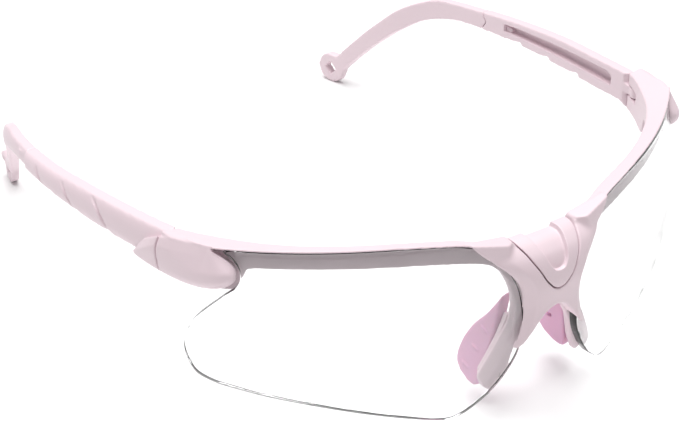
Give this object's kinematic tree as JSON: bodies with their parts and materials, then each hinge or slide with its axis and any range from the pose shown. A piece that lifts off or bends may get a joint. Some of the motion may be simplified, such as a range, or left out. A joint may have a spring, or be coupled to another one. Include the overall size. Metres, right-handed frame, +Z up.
{
  "type": "sports protective goggles",
  "caption": "Half-frame sports protective goggles: clear wraparound lenses under a brow bar, soft nose pads, inward-folding temples with retainer cord eyes.",
  "frame": {"origin": "centre of the bounding box at its bottom, the table that the lens edges and temple tips rest on", "axes": "+X towards the wearer's left, +Y towards the back of the head along the temples, +Z up; the front faces -Y"},
  "size_m": [0.1484, 0.1696, 0.0467],
  "materials": {
    "frame_plastic": "satin injection-moulded nylon, pale blush pink",
    "clear_lens": "clear polished polycarbonate with a hard coat",
    "soft_pad": "soft moulded elastomer, magenta pink",
    "screw_steel": "bright steel",
    "insert_brass": "plain brass"
  },
  "bodies": {
    "front": {"brow_frame": "frame_plastic", "bridge_cap": "frame_plastic", "lens_left": "clear_lens", "nose_pad_carrier_left": "frame_plastic", "nose_pad_left": "soft_pad", "hinge_screw_left": "screw_steel", "hinge_insert_left": "insert_brass", "lens_right": "clear_lens", "nose_pad_carrier_right": "frame_plastic", "nose_pad_right": "soft_pad", "hinge_screw_right": "screw_steel", "hinge_insert_right": "insert_brass"},
    "temple_left": {"temple_arm_left": "frame_plastic", "temple_tip_left": "frame_plastic"},
    "temple_right": {"temple_arm_right": "frame_plastic", "temple_tip_right": "frame_plastic"}
  },
  "joints": [
    {"name": "fold_left", "type": "hinge", "parent": "front", "child": "temple_left", "pos_m": [0.0673, -0.03655, 0.0395], "axis": [0, 0, 1], "range_deg": [0, 94]},
    {"name": "fold_right", "type": "hinge", "parent": "front", "child": "temple_right", "pos_m": [-0.0673, -0.03655, 0.0395], "axis": [0, 0, -1], "range_deg": [0, 84]}
  ]
}
